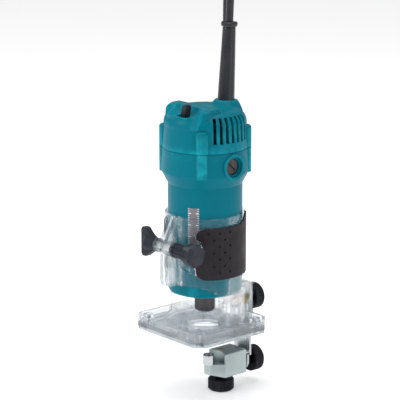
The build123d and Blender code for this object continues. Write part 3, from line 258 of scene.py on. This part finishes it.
def scale_finish(name):
    """Satin scale strip with printed ticks every 2 and 10 mm along both edges."""
    material, tree, shader = new_material(name)
    split = tree.nodes.new("ShaderNodeSeparateXYZ")
    tree.links.new(place(tree), split.inputs[0])
    x, y, height = split.outputs
    angle = math(tree, "ARCTAN2", y, x)
    from_middle = math(tree, "SUBTRACT", angle, radians(SCALE_MIDDLE_DEG))
    from_middle = math(tree, "ABSOLUTE", from_middle, 0.0)
    outward = math(tree, "MULTIPLY", from_middle, 1.0 / radians(SCALE_HALF_DEG))
    marks = None
    for pitch, half, reach in SCALE_TICKS:
        phase = math(tree, "PINGPONG", height, pitch / 2)
        line = math(tree, "LESS_THAN", phase, half)
        tick = math(tree, "MULTIPLY", line, math(tree, "GREATER_THAN", outward, reach))
        marks = tick if marks is None else math(tree, "MAXIMUM", marks, tick)
    base = blend_colour(tree, noise(tree, 90.0, 4.0), (0.19, 0.175, 0.20), (0.25, 0.23, 0.26))
    tree.links.new(blend_colour(tree, marks, base, (0.80, 0.80, 0.82)), shader.inputs["Base Color"])
    sheen = spread(tree, noise(tree, 500.0, 3.0, 0.6, (1, 1, 0.1)), 0.3, 0.7, 0.38, 0.52)
    tree.links.new(sheen, shader.inputs["Roughness"])
    shader.inputs["Metallic"].default_value = 0.2
    bump(tree, shader, marks, 0.15, 0.0001)
    return material


CLEAR_TINT = (0.98, 0.99, 1.0)
SOLE_TINT = (0.84, 0.92, 0.97)
FINISHES = {
    "clear_plastic": clear("clear_plastic", CLEAR_TINT, alpha=0.31, plate_alpha=0.58, patches=0.12),
    "clear_sole": clear("clear_sole", SOLE_TINT, alpha=0.62, plate_alpha=0.62, patches=0.8),
    "screw_steel": metal("screw_steel", (0.62, 0.62, 0.60), 0.30),
    "grip_rubber": rubber("grip_rubber", (0.021, 0.017, 0.022), 0.55),
    "brass": metal("brass", (0.78, 0.56, 0.26), 0.30),
    "teal_plastic": moulded("teal_plastic", (0.0, 0.172, 0.235), (0.01, 0.36, 0.44), 0.32),
    "scale_plate": scale_finish("scale_plate"),
    "rating_plate": moulded("rating_plate", (0.62, 0.64, 0.64), (0.8, 0.8, 0.8), 0.4),
    "lamination_steel": metal("lamination_steel", (0.36, 0.36, 0.37), 0.42, (0.05, 0.05, 3.0), 900.0),
    "copper_wire": metal("copper_wire", (0.72, 0.30, 0.14), 0.38, (0.4, 0.4, 6.0), 500.0, 0.35, 0.5),
    "bearing_steel": metal("bearing_steel", (0.66, 0.66, 0.67), 0.22, (0.1, 0.1, 2.0)),
    "black_plastic": moulded("black_plastic", (0.006, 0.006, 0.009), (0.05, 0.05, 0.06), 0.40),
    "grey_plastic": moulded("grey_plastic", (0.026, 0.030, 0.038), (0.12, 0.13, 0.15), 0.38),
    "cap_plastic": moulded("cap_plastic", (0.085, 0.074, 0.074), (0.20, 0.18, 0.17), 0.45),
    "carbon": moulded("carbon", (0.03, 0.03, 0.03), (0.08, 0.08, 0.08), 0.6),
    "capacitor_plastic": moulded("capacitor_plastic", (0.5, 0.3, 0.05), (0.6, 0.45, 0.2), 0.3),
    "cord_rubber": rubber("cord_rubber", (0.018, 0.018, 0.025), 0.27, 900.0, 0.08, ior=1.55),
    "dark_steel": metal("dark_steel", (0.055, 0.052, 0.055), 0.34, tarnish=0.1),
    "arm_steel": metal("arm_steel", (0.44, 0.46, 0.47), 0.30, (1, 1, 0.06), 900.0),
    "cast_aluminium": metal("cast_aluminium", (0.40, 0.46, 0.46), 0.48, (1, 1, 1), 1300.0, 0.15, 0.35),
    "roller_chrome": metal("roller_chrome", (0.42, 0.44, 0.45), 0.16, (0.1, 0.1, 2.0), 600.0, 0.1, 0.04),
}
slot_of = {entry["node"]: entry["material_slot"] for entry in frame["record"]["subparts"]}
for name, piece in nodes.items():
    piece.data.materials.clear()
    piece.data.materials.append(FINISHES[slot_of[name]])

# ------------------------------------------------------------------- cord
CORD_R = 3.25 * MM
GUARD_BASE = Vector((0, 23.4 * MM, 197.0 * MM))
GUARD_LEAN_DEG = 3.1
GUARD_LENGTH = 68.6 * MM
FIRST_RISE = 30.0 * MM
CORD_RISE = 75.0 * MM
ARCH_SPAN = 74.0 * MM
ARCH_SHIFT = 4.7 * MM
DESCENT_SHIFT = 1.2 * MM
HANK_TOP = 154.0 * MM
HANK_BOTTOM = 5.0 * MM
TAIL_GAP = 7.6 * MM
# The hank's own directions: away from the viewer, across the view, and up
AWAY = Vector((-0.7466, 0.6653, 0))
ACROSS = Vector((0.6653, 0.7466, 0))
UP = Vector((0, 0, 1))
lean = radians(GUARD_LEAN_DEG)
guard_axis = Vector((0, sin(lean), cos(lean)))
guard_tip = GUARD_BASE + guard_axis * GUARD_LENGTH
arch_start = guard_tip + guard_axis * CORD_RISE
arch_end = arch_start + AWAY * ARCH_SPAN - ACROSS * ARCH_SHIFT
descent_middle = arch_end - ACROSS * DESCENT_SHIFT - UP * ((arch_end.z - HANK_TOP) / 2)
hank_entry = Vector((descent_middle.x, descent_middle.y, HANK_TOP))
free_route = [guard_tip, guard_tip + guard_axis * FIRST_RISE, arch_start, arch_end, descent_middle]

FOLD_R = 20.0 * MM
FOLD_STEPS = 6
HALF_STEP = radians(90 / FOLD_STEPS)
FOLD_TOP = HANK_TOP - CORD_R - FOLD_R
FOLD_LOW = HANK_BOTTOM + CORD_R + FOLD_R
LAYERS = 5
PITCH = 2 * CORD_R
tail_away = LAYERS * CORD_R + TAIL_GAP
hank_middle = Vector((hank_entry.x, hank_entry.y, 0)) - ACROSS * FOLD_R + AWAY * ((LAYERS - 1) * CORD_R)


def in_hank(across, height, away):
    """A point given in the hank's own directions."""
    return hank_middle + ACROSS * across + AWAY * away + UP * height


def fold(middle_height, sign, away_from, away_to):
    """Control points round half a turn; sign is +1 for the upper fold."""
    points = []
    reach = FOLD_R / cos(HALF_STEP)
    for step in range(FOLD_STEPS):
        turn = (2 * step + 1) * HALF_STEP
        share = (step + 0.5) / FOLD_STEPS
        across = sign * -cos(turn) * reach
        height = middle_height + sign * sin(turn) * reach
        points.append(in_hank(across, height, away_from + (away_to - away_from) * share))
    return points


# The tail hangs inside the last fold and ends in the plug: across, height
TAIL_POINTS = ((17.5 * MM, 118.0 * MM), (11.2 * MM, 107.0 * MM), (11.0 * MM, 93.0 * MM))
fold_middle = (FOLD_TOP + FOLD_LOW) / 2
hank_route = []
for layer in range(LAYERS):
    away = (layer - (LAYERS - 1) / 2) * PITCH
    next_away = away + PITCH if layer < LAYERS - 1 else tail_away
    hank_route.append(in_hank(FOLD_R, fold_middle, away))
    hank_route.extend(fold(FOLD_LOW, -1, away, away))
    hank_route.append(in_hank(-FOLD_R, fold_middle, away))
    hank_route.extend(fold(FOLD_TOP, 1, away, next_away))
for across, height in TAIL_POINTS:
    hank_route.append(in_hank(across, height, tail_away))

cord_curve = bpy.data.curves.new("cord_line", "CURVE")
cord_curve.dimensions = "3D"
spline = cord_curve.splines.new("NURBS")
route = free_route + hank_route
spline.points.add(len(route) - 1)
for point, place_at in zip(spline.points, route):
    point.co = (*place_at, 1.0)
spline.order_u = 3
spline.use_endpoint_u = True
cord_curve.bevel_depth = CORD_R
cord_curve.bevel_resolution = 5
cord_curve.resolution_u = 8
cord_curve.use_fill_caps = True
cord_piece = bpy.data.objects.new("cord", cord_curve)
scene.collection.objects.link(cord_piece)
cord_curve.materials.append(FINISHES["cord_rubber"])
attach(cord_piece, "motor")
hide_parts("mains_cord", "cord_hank")

# ------------------------------------------------------------------- stage
FLOOR_SIZE = 18.0
FLOOR_GAP = 0.2 * MM
floor_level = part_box("knob_b")[0].z - FLOOR_GAP
bpy.ops.mesh.primitive_plane_add(size=FLOOR_SIZE, location=(0, 0, floor_level))
floor = bpy.context.active_object
floor.name = "floor"
material, tree, shader = new_material("floor_paint")
shade = blend_colour(tree, noise(tree, 6.0), (0.90, 0.90, 0.90), (0.93, 0.93, 0.93))
tree.links.new(shade, shader.inputs["Base Color"])
shader.inputs["Roughness"].default_value = 0.8
shader.inputs["Emission Color"].default_value = (1.0, 1.0, 1.0, 1.0)
shader.inputs["Emission Strength"].default_value = 0.36
floor.data.materials.append(material)

world = bpy.data.worlds.new("studio")
scene.world = world
world.use_nodes = True
sky = world.node_tree
backdrop = sky.nodes["Background"]
split = sky.nodes.new("ShaderNodeSeparateXYZ")
sky.links.new(sky.nodes.new("ShaderNodeTexCoord").outputs["Generated"], split.inputs[0])
lift = spread(sky, split.outputs["Z"], 0.05, 0.75, 0.0, 1.0)
sky.links.new(blend_colour(sky, lift, (0.26, 0.26, 0.27), (1.0, 1.0, 1.0)), backdrop.inputs["Color"])
backdrop.inputs["Strength"].default_value = 0.6


def area_light(name, at, aim, size, power):
    """A rectangular lamp at a point, turned to its aim."""
    light = bpy.data.lights.new(name, "AREA")
    light.shape = "RECTANGLE"
    light.size = size[0]
    light.size_y = size[1]
    light.energy = power
    lamp = bpy.data.objects.new(name, light)
    scene.collection.objects.link(lamp)
    lamp.location = at
    lamp.rotation_euler = (Vector(aim) - Vector(at)).to_track_quat("-Z", "Y").to_euler()


area_light("key", (-0.7, -1.5, 1.0), (0, 0, 0.1), (0.5, 1.1), 12.0)
area_light("fill", (1.9, 0.5, 0.6), (0, 0, 0.1), (0.4, 1.2), 4.5)
area_light("top", (0.1, -0.1, 1.9), (0, 0, 0), (1.6, 1.6), 20.0)
